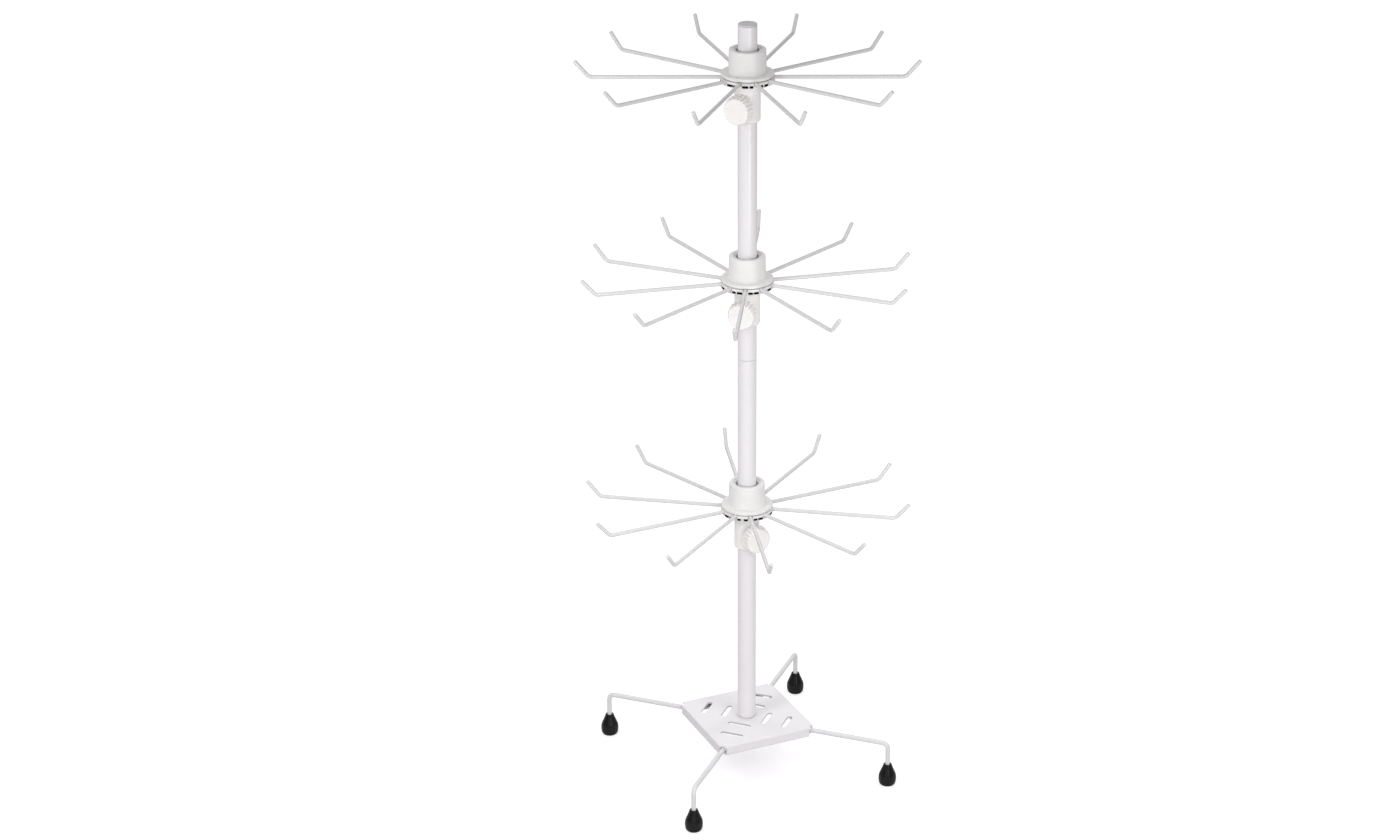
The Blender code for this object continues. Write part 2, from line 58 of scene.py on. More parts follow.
# Pole and cap.
POLE_RADIUS = 9.5 * MM
TUBE_EASE = 0.3 * MM
POLE_WALL = 1.0 * MM
FOOT_NECK_DEPTH = 0.8 * MM
FOOT_NECK_HEIGHT = 1.6 * MM
CAP_DISC = 1.7 * MM
CAP_SPIGOT = 12.0 * MM
CAP_DOME = 0.35 * MM
CAP_WALL = 1.2 * MM
CAP_RIBS = 3
CAP_RIB_HEIGHT = 0.2 * MM

# Base plate. Its corners stand over the legs.
PLATE_SIDE = 108.0 * MM
SHEET = 2.0 * MM
FOLD_RADIUS = 1.3 * MM
INNER_FOLD_RADIUS = 0.3 * MM
HEM_WIDTH = 8.0 * MM
CORNER_CUT_RADIUS = 6.5 * MM
RELIEF_RADIUS = 3.0 * MM
SLOT_LENGTH = 25.0 * MM
SLOT_WIDTH = 5.4 * MM
SLOT_DISTANCES = (22.5 * MM, 45.0 * MM)
BOLT_HOLE_RADIUS = 4.4 * MM

# Legs and feet.
LEG_WIRE = 2.5 * MM
LEG_BEND = 6.0 * MM
LEG_TANG = 70.0 * MM
FOOT_FLOOR = 4.5 * MM
FOOT_RIBS = 12
FOOT_RIB_DEPTH = 0.24 * MM
FOOT_LIP = 0.25 * MM
FOOT_EDGE = 0.35 * MM
SOLE_RADII = (0.4 * MM, 2.2 * MM, 3.4 * MM, 4.4 * MM, 5.6 * MM)
SOLE_GROOVES = (2.2 * MM, 4.4 * MM)
SOLE_GROOVE_DEPTH = 0.35 * MM
FOOT_SHAPE = (  # radius at each height, both in millimetres
    (0.0, 7.2), (1.3, 8.3), (4.5, 9.1), (8.3, 9.3), (11.5, 8.85), (15.6, 7.2), (21.4, 4.8), (23.4, 4.0)
)

# Bolt under the plate.
BOLT_RADIUS = 4.0 * MM
BOLT_FLANGE_RADIUS = 9.0 * MM
BOLT_FLANGE_HEIGHT = 1.5 * MM
BOLT_HEAD_HEIGHT = 5.5 * MM
BOLT_ACROSS_FLATS = 13.0 * MM
BOLT_LENGTH = 14.0 * MM
BOLT_PITCH = 1.25 * MM

# Tiers.
TIERS = ("top", "middle", "bottom")
HOOKS = 10
HOOK_WIRE = 2.0 * MM
HOOK_REACH = 153.7 * MM
HOOK_TIP_OUT = 14.0 * MM
HOOK_TIP_UP = 16.2 * MM
HOOK_BEND = 7.0 * MM
HUB_RADIUS = 18.2 * MM
HUB_DRAFT = 0.5 * MM
HUB_TOP = 28.7 * MM
HUB_BORE = 11.8 * MM
HUB_RIM = 4.4 * MM
HUB_RECESS = 1.0 * MM
SPIGOT_RADIUS = 14.0 * MM
SPIGOT_BOTTOM = -3.0 * MM
FLANGE_RADIUS = 26.2 * MM
FLANGE_TOP = 5.4 * MM
RING_RADIUS = 26.7 * MM
RING_TOP = 2.0 * MM
RING_BOTTOM = -4.6 * MM
SOCKET_DEPTH = 9.0 * MM
WINDOW_WIDTH = 11.0 * MM
WINDOW_HEIGHT = 2.4 * MM
WINDOW_DEPTH = 5.0 * MM
WINDOW_CENTRE = -2.4 * MM
# The web in each window: how far it stands off the window's middle, its width and how far
# back from the rim it is, in millimetres.
WEBS = (
    (0.0, 1.0, 3.4), (1.1, 1.1, 0.3), (0.0, 1.3, 0.4), (-1.0, 1.0, 0.4), (0.1, 1.0, 2.2),
    (-0.4, 2.9, 1.5), (0.0, 1.0, 1.9), (0.3, 1.1, 0.6), (-0.6, 1.2, 0.5), (0.2, 1.0, 2.6),
)
RING_CLOCKING = {"top": 6, "middle": 3, "bottom": 1}  # which hook the first window follows
GROOVE_HEIGHT = 0.8 * MM
GROOVE_DEPTH = 3.0 * MM
BUSH_TOP = 22.0 * MM
BUSH_FLANGE = 13.9 * MM
BUSH_CLEARANCE = 0.4 * MM
COLLAR_RADIUS = 12.9 * MM
COLLAR_BOTTOM = -44.2 * MM
COLLAR_ROUND = 2.1 * MM
BOSS_RADIUS = 5.2 * MM
BOSS_FACE = 15.5 * MM
SCREW_RADIUS = 3.0 * MM
SCREW_PITCH = 1.0 * MM
KNOB_RADIUS = 15.0 * MM
KNOB_FLUTE_DEPTH = 0.9 * MM
KNOB_FLUTES = 22
KNOB_THICKNESS = 10.0 * MM
KNOB_TAPER = 0.88
KNOB_ROUND = 0.9 * MM
KNOB_DISHING = 0.5 * MM
KNOB_FACE_RADII = (0.5 * MM, 2.5 * MM, 5.0 * MM, 7.5 * MM, 9.2 * MM)
KNOB_BACK_RADII = (8.5 * MM, SCREW_RADIUS + 0.2 * MM, 0.5 * MM)

# Camera and studio.
CAMERA_BACK = 2.9734
CAMERA_HEIGHT = 1.6936
CAMERA_DOWN = math.radians(23.64)
LENS = 82.2
SHIFT_X = -0.0336
CAMERA_ROLL = 0.0014
WORLD_LIT = 0.54
WORLD_REFLECTED = 0.22
WORLD_SEEN = 1.0
FLOOR_SIZE = 14.0
FLOOR_GLOW = (0.55, 0.75)  # near the rack and far from it
FLOOR_GLOW_DISTANCES = (0.3, 2.4)
PANELS = (  # name, centre, target, width, height, power, and whether gloss reflects it
    ("key_panel", (0, -1.6, 0.7), (0, 0, 0.4), 1.5, 0.9, 2.2, True),
    ("right_back_panel", (0.495, 0.495, 0.72), (0.3, 0.3, 0.05), 0.3, 0.3, 1.2, False),
    ("left_back_panel", (-0.495, 0.495, 0.72), (-0.3, 0.3, 0.05), 0.3, 0.3, 1.2, False),
    ("left_high_panel", (-0.52, -0.46, 0.93), (-0.05, -0.05, 0.55), 0.3, 0.3, 1.6, False),
    ("left_front_panel", (-0.495, -0.495, 0.72), (-0.3, -0.3, 0.05), 0.3, 0.3, 1.1, False),
    ("right_front_panel", (0.495, -0.495, 0.72), (0.3, -0.3, 0.05), 0.3, 0.3, 1.7, False),
    ("strip_panel", (0.466, -0.885, 0.415), (0, 0, 0.5), 0.16, 0.37, 1.1, True),
    ("back_panel", (0, 1.5, 1.0), (0, 0, 0.4), 1.2, 1.4, 3.0, True),
    ("low_panel", (0, -0.9, 0.22), (0, 0, 0.4), 0.6, 0.2, 0.85, False),
)

ROUND_SIDES = 96
WIRE_SIDES = 20
SHARP = math.radians(32)
QUARTER_TURN = math.radians(90)


# Mesh helpers.


def finished_mesh(bm, name, smooth=True):
    """Turns a bmesh into a mesh with outward faces, smooth except at its hard edges."""
    bmesh.ops.remove_doubles(bm, verts=bm.verts, dist=0.002 * MM)
    bmesh.ops.recalc_face_normals(bm, faces=bm.faces)
    mesh = bpy.data.meshes.new(name)
    bm.to_mesh(mesh)
    bm.free()
    if smooth:
        mesh.shade_smooth()
        mesh.set_sharp_from_angle(angle=SHARP)
    return mesh


def filleted(corners, steps=5):
    """The closed outline through (x, y, fillet radius) corners, with an arc at each fillet."""
    points = []
    for index, (x, y, fillet) in enumerate(corners):
        corner = Vector((x, y))
        if not fillet:
            points.append(corner)
            continue
        back = (Vector(corners[index - 1][:2]) - corner).normalized()
        ahead = (Vector(corners[(index + 1) % len(corners)][:2]) - corner).normalized()
        half = back.angle(ahead) / 2
        centre = corner + (back + ahead).normalized() * fillet / math.sin(half)
        start = corner + back * fillet / math.tan(half) - centre
        sweep = start.angle_signed(corner + ahead * fillet / math.tan(half) - centre)
        for step in range(steps + 1):
            turned = start.copy()
            turned.rotate(Matrix.Rotation(-sweep * step / steps, 2))
            points.append(centre + turned)
    return points


def turned(name, corners, sides=ROUND_SIDES, steps=5):
    """A body of revolution about Z, from the closed (radius, height, fillet) outline."""
    bm = bmesh.new()
    outline = filleted(corners, steps)
    rings = []
    for side in range(sides):
        angle = side * math.tau / sides
        rings.append([
            bm.verts.new((radius * math.cos(angle), radius * math.sin(angle), height))
            for radius, height in outline
        ])
    bridge(bm, rings, wrap_rings=True)
    return finished_mesh(bm, name)


def bridge(bm, rings, wrap_rings=False):
    """Quads between rings of as many verts each. The last ring meets the first if wrapped."""
    pairs = list(zip(rings, rings[1:]))
    if wrap_rings:
        pairs.append((rings[-1], rings[0]))
    for low, high in pairs:
        for index in range(len(low)):
            after = (index + 1) % len(low)
            bm.faces.new((low[index], low[after], high[after], high[index]))


def bent_path(corners, bend, steps=8):
    """Points along straight runs between corners, with an arc at each inner corner."""
    path = [corners[0]]
    for before, corner, after in zip(corners, corners[1:], corners[2:]):
        back = (before - corner).normalized()
        ahead = (after - corner).normalized()
        half = back.angle(ahead) / 2
        centre = corner + (back + ahead).normalized() * bend / math.sin(half)
        start = (corner + back * bend / math.tan(half) - centre).normalized()
        end = (corner + ahead * bend / math.tan(half) - centre).normalized()
        path += [centre + start.slerp(end, step / steps) * bend for step in range(steps + 1)]
    path.append(corners[-1])
    return path


def wire(name, path, radius, end_round, sides=WIRE_SIDES):
    """A round wire along the path, its ends rounded over by end_round."""
    ahead = (path[1] - path[0]).normalized()
    side = ahead.orthogonal().normalized()
    steps = 5
    middle = [path[0] + ahead * end_round] + path[1:-1]
    last = (path[-1] - path[-2]).normalized()
    middle.append(path[-1] - last * end_round)
    start_rings = [
        (path[0] + ahead * end_round * (1 - math.cos(QUARTER_TURN * step / steps)),
         radius - end_round * (1 - math.sin(QUARTER_TURN * step / steps)), ahead)
        for step in range(steps)
    ]
    directions = []
    for index, point in enumerate(middle):
        before = (point - middle[index - 1]).normalized() if index else ahead
        after = (middle[index + 1] - point).normalized() if index + 1 < len(middle) else last
        directions.append((before + after).normalized())
    rings = start_rings + [(point, radius, way) for point, way in zip(middle, directions)]
    rings += [
        (path[-1] - last * end_round * (1 - math.cos(QUARTER_TURN * step / steps)),
         radius - end_round * (1 - math.sin(QUARTER_TURN * step / steps)), last)
        for step in reversed(range(steps))
    ]
    bm = bmesh.new()
    loops = []
    for point, reach, way in rings:
        side = (side - way * side.dot(way)).normalized()
        other = way.cross(side)
        loops.append([
            bm.verts.new(point + (side * math.cos(angle) + other * math.sin(angle)) * reach)
            for angle in (math.tau * step / sides for step in range(sides))
        ])
    bridge(bm, loops)
    bm.faces.new(loops[0])
    bm.faces.new(loops[-1])
    return finished_mesh(bm, name)


def threaded_rod(name, radius, pitch, bottom, top, depth_share=0.6, sides=32):
    """A rod about Z with a helical V thread, its ends chamfered."""
    depth = pitch * depth_share
    rows = max(2, round((top - bottom) / pitch * 8))
    bm = bmesh.new()
    rings = []
    for row in range(rows + 1):
        height = bottom + (top - bottom) * row / rows
        end = min(height - bottom, top - height)
        ring = []
        for step in range(sides):
            turn = step / sides
            phase = (height / pitch - turn) % 1
            flank = abs(2 * phase - 1)
            reach = radius - depth * min(1, max(0, 1.15 * flank - 0.1))
            reach = min(reach, radius - depth + end)
            angle = turn * math.tau
            ring.append(bm.verts.new((reach * math.cos(angle), reach * math.sin(angle), height)))
        rings.append(ring)
    bridge(bm, rings)
    bm.faces.new(rings[0])
    bm.faces.new(rings[-1])
    return finished_mesh(bm, name)


def box_mesh(name, size, centre, turn=0.0, edge_round=0.0, edges=None):
    """A box, its chosen edges rounded: all of them, or those that edges(edge) picks."""
    bm = bmesh.new()
    place = Matrix.Rotation(turn, 4, "Z") @ Matrix.Translation(centre) @ Matrix.Diagonal((*size, 1))
    bmesh.ops.create_cube(bm, size=1, matrix=place)
    if edge_round:
        picked = [edge for edge in bm.edges if edges is None or edges(edge)]
        bmesh.ops.bevel(bm, geom=picked, offset=edge_round, segments=6, profile=0.5, affect="EDGES")
    mesh = bpy.data.meshes.new(name)
    bm.to_mesh(mesh)
    bm.free()
    return mesh


def cylinder_mesh(name, radius, bottom, top, centre=(0, 0), sides=48):
    bm = bmesh.new()
    place = Matrix.Translation((*centre, (bottom + top) / 2))
    bmesh.ops.create_cone(
        bm, cap_ends=True, segments=sides, radius1=radius, radius2=radius,
        depth=top - bottom, matrix=place,
    )
    mesh = bpy.data.meshes.new(name)
    bm.to_mesh(mesh)
    bm.free()
    return mesh


def carved(mesh, steps):
    """The mesh after a list of (operation, other mesh) booleans."""
    scene = bpy.context.scene
    base = bpy.data.objects.new("carving", mesh)
    scene.collection.objects.link(base)
    helpers = [base]
    for operation, other in steps:
        helper = bpy.data.objects.new("cutter", other)
        scene.collection.objects.link(helper)
        helpers.append(helper)
        boolean = base.modifiers.new("cut", "BOOLEAN")
        boolean.operation = operation
        boolean.object = helper
        boolean.material_mode = "TRANSFER"
    return baked(base, helpers)


def softened(mesh, width, segments=2, angle=40):
    """The mesh with its hard edges rounded over."""
    base = bpy.data.objects.new("softening", mesh)
    bpy.context.scene.collection.objects.link(base)
    bevel = base.modifiers.new("soften", "BEVEL")
    bevel.width = width
    bevel.segments = segments
    bevel.angle_limit = math.radians(angle)
    bevel.miter_outer = "MITER_ARC"
    return baked(base, [base])


def baked(base, helpers):
    """The evaluated mesh of base. The helpers are removed."""
    name = base.data.name
    bpy.context.view_layer.update()
    graph = bpy.context.evaluated_depsgraph_get()
    mesh = bpy.data.meshes.new_from_object(base.evaluated_get(graph))
    for helper in helpers:
        bpy.data.objects.remove(helper)
    mesh.name = name
    if not any(mesh.materials):
        mesh.materials.clear()  # a boolean leaves an empty slot where its meshes have no material
    mesh.shade_smooth()
    mesh.set_sharp_from_angle(angle=SHARP)
    return mesh


def stadium_mesh(name, length, width, centre, direction, bottom, top, arc_steps=10):
    """A prism over a slot's outline: two half circles joined by straight sides."""
    along = Vector((math.cos(direction), math.sin(direction)))
    bm = bmesh.new()
    rings = []
    for height in (bottom, top):
        ring = []
        for end in (0, 1):
            middle = Vector(centre) + along * (length - width) / 2 * (1 - 2 * end)
            for step in range(arc_steps + 1):
                angle = direction + math.pi * (end - 0.5 + step / arc_steps)
                point = middle + Vector((math.cos(angle), math.sin(angle))) * width / 2
                ring.append(bm.verts.new((*point, height)))
        rings.append(ring)
    bridge(bm, rings)
    bm.faces.new(rings[0])
    bm.faces.new(rings[1])
    return finished_mesh(bm, name, smooth=False)


# Materials.


def new_material(name, colour, roughness, metallic=0.0):
    """A material with its shader, and the object-space position that its patterns use."""
    material = bpy.data.materials.new(name)
    material.use_nodes = True
    material.diffuse_color = (*colour, 1)
    nodes = material.node_tree.nodes
    shader = nodes["Principled BSDF"]
    shader.inputs["Base Color"].default_value = (*colour, 1)
    shader.inputs["Roughness"].default_value = roughness
    shader.inputs["Metallic"].default_value = metallic
    place = nodes.new("ShaderNodeTexCoord").outputs["Object"]
    return material, shader, place


def noise(material, place, scale, detail=3.0, roughness=0.55):
    texture = material.node_tree.nodes.new("ShaderNodeTexNoise")
    texture.inputs["Scale"].default_value = scale
    texture.inputs["Detail"].default_value = detail
    texture.inputs["Roughness"].default_value = roughness
    material.node_tree.links.new(place, texture.inputs["Vector"])
    return texture.outputs["Fac"]


def ranged(material, value, low, high, start=0.3, end=0.7):
    """Maps a pattern's value from start..end to low..high."""
    node = material.node_tree.nodes.new("ShaderNodeMapRange")
    node.inputs["From Min"].default_value = start
    node.inputs["From Max"].default_value = end
    node.inputs["To Min"].default_value = low
    node.inputs["To Max"].default_value = high
    material.node_tree.links.new(value, node.inputs["Value"])
    return node.outputs["Result"]


def mixed(material, share, dark, light):
    node = material.node_tree.nodes.new("ShaderNodeMix")
    node.data_type = "RGBA"
    node.inputs["A"].default_value = (*dark, 1)
    node.inputs["B"].default_value = (*light, 1)
    material.node_tree.links.new(share, node.inputs["Factor"])
    return node.outputs["Result"]


def bumped(material, shader, heights):
    """Bumps the surface by (pattern, height in metres, strength) layers, coarse ones first."""
    links = material.node_tree.links
    normal = None
    for pattern, height, strength in heights:
        bump = material.node_tree.nodes.new("ShaderNodeBump")
        bump.inputs["Distance"].default_value = height
        bump.inputs["Strength"].default_value = strength
        links.new(pattern, bump.inputs["Height"])
        if normal:
            links.new(normal, bump.inputs["Normal"])
        normal = bump.outputs["Normal"]
    links.new(normal, shader.inputs["Normal"])


def varied_colour(material, shader, pattern, dark, light):
    """Colours the surface between dark and light by a pattern."""
    colour = mixed(material, ranged(material, pattern, 0, 1), dark, light)
    material.node_tree.links.new(colour, shader.inputs["Base Color"])


def varied_roughness(material, shader, pattern, low, high):
    """Makes the surface between low and high in roughness by a pattern."""
    material.node_tree.links.new(ranged(material, pattern, low, high), shader.inputs["Roughness"])


def powder_coat(name, dark, light):
    """White powder coat: a faint orange peel under a clear gloss."""
    material, shader, place = new_material(name, light, 0.26)
    varied_colour(material, shader, noise(material, place, 60), dark, light)
    varied_roughness(material, shader, noise(material, place, 220), 0.25, 0.27)
    shader.inputs["Coat Weight"].default_value = 0.6
    shader.inputs["Coat Roughness"].default_value = 0.09
    bumped(material, shader, [(noise(material, place, 1500, 2), 0.00001, 0.05)])
    return material


def hub_plastic():
    """Injection-moulded white plastic with fine texture and faint flow marks."""
    dark = (0.795, 0.790, 0.775)
    light = (0.825, 0.822, 0.808)
    material, shader, place = new_material("hub_plastic", light, 0.36)
    varied_colour(material, shader, noise(material, place, 70), dark, light)
    varied_roughness(material, shader, noise(material, place, 240), 0.30, 0.44)
    shader.inputs["Subsurface Weight"].default_value = 0.12
    shader.inputs["Subsurface Radius"].default_value = (1.0, 0.9, 0.75)
    shader.inputs["Subsurface Scale"].default_value = 0.0015
    bumped(material, shader, [(noise(material, place, 2600, 2), 0.000015, 0.4)])
    return material


def milky_plastic():
    """Natural polypropylene: milky, a little warm, and light passes through its thin edges."""
    dark = (0.885, 0.870, 0.848)
    light = (0.920, 0.906, 0.886)
    material, shader, place = new_material("milky_polypropylene", light, 0.32)
    varied_colour(material, shader, noise(material, place, 110), dark, light)
    varied_roughness(material, shader, noise(material, place, 300), 0.24, 0.40)
    shader.inputs["Subsurface Weight"].default_value = 0.35
    shader.inputs["Subsurface Radius"].default_value = (1.0, 0.92, 0.80)
    shader.inputs["Subsurface Scale"].default_value = 0.004
    bumped(material, shader, [(noise(material, place, 1400, 2), 0.00002, 0.35)])
    return material


def natural_nylon():
    dark = (0.70, 0.685, 0.63)
    light = (0.78, 0.765, 0.72)
    material, shader, place = new_material("cast_nylon", light, 0.42)
    varied_colour(material, shader, noise(material, place, 180), dark, light)
    varied_roughness(material, shader, noise(material, place, 500), 0.34, 0.52)
    shader.inputs["Subsurface Weight"].default_value = 0.25
    shader.inputs["Subsurface Scale"].default_value = 0.002
    bumped(material, shader, [(noise(material, place, 1800, 2), 0.00002, 0.3)])
    return material


def cap_plastic():
    dark = (0.60, 0.60, 0.605)
    light = (0.68, 0.68, 0.685)
    material, shader, place = new_material("cap_polyethylene", light, 0.42)
    varied_colour(material, shader, noise(material, place, 150), dark, light)
    varied_roughness(material, shader, noise(material, place, 420), 0.34, 0.50)
    bumped(material, shader, [(noise(material, place, 2200, 2), 0.00002, 0.5)])
    return material


def foot_rubber():
    """Black vinyl: glossy, with a fine skin and a little dust in its texture."""
    dark = (0.0045, 0.0045, 0.005)
    light = (0.009, 0.009, 0.010)
    material, shader, place = new_material("foot_vinyl", dark, 0.2)
    shader.inputs["Specular IOR Level"].default_value = 0.3
    varied_colour(material, shader, noise(material, place, 300, 5), dark, light)
    varied_roughness(material, shader, noise(material, place, 240), 0.16, 0.28)
    bumped(material, shader, [
        (noise(material, place, 420, 2), 0.00005, 0.2),
        (noise(material, place, 2400, 2), 0.00001, 0.3),
    ])
    return material


def zinc_plate():
    """Bright zinc on steel, with faint passivation colour and fine scratches along the part."""
    dark = (0.50, 0.51, 0.52)
    light = (0.68, 0.69, 0.70)
    material, shader, place = new_material("bright_zinc", light, 0.3, 1.0)
    stretch = material.node_tree.nodes.new("ShaderNodeMapping")
    stretch.inputs["Scale"].default_value = (1.0, 1.0, 0.15)
    material.node_tree.links.new(place, stretch.inputs["Vector"])
    varied_colour(material, shader, noise(material, place, 220, 4), dark, light)
    along = stretch.outputs["Vector"]
    varied_roughness(material, shader, noise(material, along, 1500, 3), 0.22, 0.42)
    bumped(material, shader, [(noise(material, along, 2500, 2), 0.00001, 0.4)])
    return material


def painted_shade_hollow():
    """Painted shade: a near-black colour for the inside of the ring, seen through its windows."""
    dark = (0.006, 0.006, 0.007)
    light = (0.016, 0.016, 0.017)
    material, shader, place = new_material("ring_painted_shade", dark, 0.7)
    varied_colour(material, shader, noise(material, place, 400), dark, light)
    varied_roughness(material, shader, noise(material, place, 700), 0.6, 0.8)
    return material


POWDER_COAT = powder_coat("powder_coat", (0.806, 0.788, 0.808), (0.812, 0.794, 0.814))
WIRE_COAT = powder_coat("wire_coat", (0.722, 0.717, 0.723), (0.738, 0.733, 0.739))
# Painted shade: a greyer copy of the coat for the walls of the plate's slots.
SLOT_WALL_PAINTED_SHADE = powder_coat("slot_wall_painted_shade", (0.60, 0.59, 0.60), (0.64, 0.63, 0.64))
HUB_PLASTIC = hub_plastic()
MILKY = milky_plastic()
NYLON = natural_nylon()
CAP_PLASTIC = cap_plastic()
RUBBER = foot_rubber()
ZINC = zinc_plate()
PAINTED_SHADE_HOLLOW = painted_shade_hollow()


# Pieces and their place in the frame.


def add_piece(name, mesh, materials, body, nodes=(), place=None):
    """Shows a mesh as a piece that rides on a body and stands for CAD nodes. A mesh that has
    its own materials, or was shown before, keeps them."""
    if not mesh.materials:
        for material in materials:
            mesh.materials.append(material)
    piece = bpy.data.objects.new(name, mesh)
    bpy.context.scene.collection.objects.link(piece)
    piece.matrix_world = place or Matrix()
    shading = piece.modifiers.new("flat_faces", "WEIGHTED_NORMAL")  # large flat faces shade evenly
    shading.keep_sharp = True
    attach(piece, body)
    if nodes:
        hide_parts(*nodes)
    return piece


def middle_of(node):
    """The mean of a CAD node's corners, each counted once."""
    verts = frame["nodes"][node].data.vertices
    corners = {tuple(round(value, 6) for value in vert.co) for vert in verts}
    return sum((Vector(corner) for corner in corners), Vector()) / len(corners)


def turn_to(node):
    """The turn about the pole that points +X at a CAD node."""
    middle = middle_of(node)
    return Matrix.Rotation(math.atan2(middle.y, middle.x), 4, "Z")


def joint(name):
    return next(found for found in frame["joints"] if found["name"] == name)


# The stand.


def pole_mesh(name, node):
    """A length of tube with its cut ends eased. The foot of the pole is turned down, which
    leaves a dark line where it meets the plate."""
    low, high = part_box(node)
    bore = POLE_RADIUS - POLE_WALL
    corners = [(POLE_RADIUS, high.z, TUBE_EASE)]
    if node == "lower_pole":
        neck = POLE_RADIUS - FOOT_NECK_DEPTH
        neck_top = low.z + FOOT_NECK_HEIGHT
        corners += [(POLE_RADIUS, neck_top, 0.1 * MM), (neck, neck_top, 0), (neck, low.z, 0)]
    else:
        corners.append((POLE_RADIUS, low.z, TUBE_EASE))
    corners += [(bore, low.z, 0.1 * MM), (bore, high.z, TUBE_EASE)]
    return turned(name, corners, steps=3)


def cap_mesh():
    """A domed disc on a ribbed spigot."""
    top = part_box("pole_cap")[1].z
    disc_bottom = top - CAP_DISC
    plug = POLE_RADIUS - POLE_WALL - GAP
    valley = plug - CAP_RIB_HEIGHT
    foot = disc_bottom - CAP_SPIGOT
    corners = [(0, top, 0), (POLE_RADIUS * 0.6, top - CAP_DOME * 0.3, 20 * MM)]
    corners += [(POLE_RADIUS, top - CAP_DOME, 0.7 * MM), (POLE_RADIUS, disc_bottom, 0.15 * MM)]
    corners.append((valley, disc_bottom, 0))
    for rib in range(CAP_RIBS):
        height = disc_bottom - (2.5 + 3 * rib) * MM
        corners += [
            (valley, height + 0.4 * MM, 0),
            (plug, height, 0),
            (valley, height - 0.6 * MM, 0),
        ]
    corners += [
        (valley, foot + 0.8 * MM, 0.3 * MM),
        (plug - 0.8 * MM, foot, 0.2 * MM),
        (plug - CAP_WALL, foot, 0.2 * MM),
        (plug - CAP_WALL, disc_bottom, 0.4 * MM),
        (0, disc_bottom, 0),
    ]
    return turned("pole_end_cap", corners)


def build_pole():
    for node in ("lower_pole", "upper_pole"):
        name = node + "_tube"
        add_piece(name, pole_mesh(name, node), [POWDER_COAT], "stand", [node])
    add_piece("pole_end_cap", cap_mesh(), [CAP_PLASTIC], "stand", ["pole_cap"])
    for node in ("pole_joiner", "base_plug"):
        materials = frame["nodes"][node].data.materials
        materials.clear()
        materials.append(ZINC)


def corner_points(distance):
    """The four points at that distance along the plate's diagonals, and their angles."""
    for corner in range(4):
        angle = math.radians(45) + corner * QUARTER_TURN
        yield (distance * math.cos(angle), distance * math.sin(angle)), angle


def plate_mesh():
    """Folded sheet: a flat top, a lip down each edge and a hem turned in under it. The sheared walls
    of the slots have a greyer coat, which is painted shade."""
    low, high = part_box("base_plate")
    sheet_bottom = high.z - SHEET
    hem_top = low.z + SHEET
    height = high.z - low.z
    past = 2 * MM

    def level(edge):
        return abs(edge.verts[0].co.z - edge.verts[1].co.z) < 0.1 * MM

    outside = (PLATE_SIDE, PLATE_SIDE, height)
    block = box_mesh("folded_plate", outside, (0, 0, (low.z + high.z) / 2), 0, FOLD_RADIUS, level)
    block.materials.append(POWDER_COAT)
    inside = PLATE_SIDE - 2 * SHEET
    cuts = [box_mesh(
        "inside", (inside, inside, sheet_bottom - hem_top), (0, 0, (sheet_bottom + hem_top) / 2), 0,
        INNER_FOLD_RADIUS, level,
    )]
    opening = PLATE_SIDE - 2 * HEM_WIDTH
    middle = (sheet_bottom + hem_top) / 2
    cuts.append(box_mesh(
        "opening", (opening, opening, middle - low.z + past), (0, 0, (middle + low.z - past) / 2)
    ))
    half = PLATE_SIDE / 2
    root2 = math.sqrt(2)
    for point, _ in corner_points(half * root2):
        cuts.append(cylinder_mesh("leg_exit", CORNER_CUT_RADIUS, low.z - past, sheet_bottom, point))
    for point, _ in corner_points((half - SHEET) * root2):
        cuts.append(cylinder_mesh("relief", RELIEF_RADIUS, low.z - past, high.z + past, point, 32))
    for distance in SLOT_DISTANCES:
        for point, angle in corner_points(distance):
            direction = angle + QUARTER_TURN
            slot = stadium_mesh(
                "slot", SLOT_LENGTH, SLOT_WIDTH, point, direction, low.z - past, high.z + past
            )
            # the slot's walls take the greyer coat as painted shade
            slot.materials.append(SLOT_WALL_PAINTED_SHADE)
            cuts.append(slot)
    cuts.append(cylinder_mesh("bolt_hole", BOLT_HOLE_RADIUS, sheet_bottom - past, high.z + past))
    return softened(carved(block, [("DIFFERENCE", cut) for cut in cuts]), 0.18 * MM)


def leg_mesh():
    """A leg whose corner of the plate is on +X: a tang in the plate's channel, a bend, a run
    out along the diagonal and a drop to the foot."""
    sheet_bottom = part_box("base_plate")[1].z - SHEET
    height = sheet_bottom - GAP - LEG_WIRE
    bend = (PLATE_SIDE / 2 - SHEET - GAP - LEG_WIRE) * math.sqrt(2)
    channel = math.radians(135)
    reach = middle_of("foot_cap_right").to_2d().length
    corner = Vector((bend, 0, height))
    corners = [
        corner + LEG_TANG * Vector((math.cos(channel), math.sin(channel), 0)),
        corner,
        Vector((reach, 0, height)),
        Vector((reach, 0, FOOT_FLOOR + GAP)),
    ]
    return wire("leg_wire", bent_path(corners, LEG_BEND, 10), LEG_WIRE, 0.6 * MM, 24)


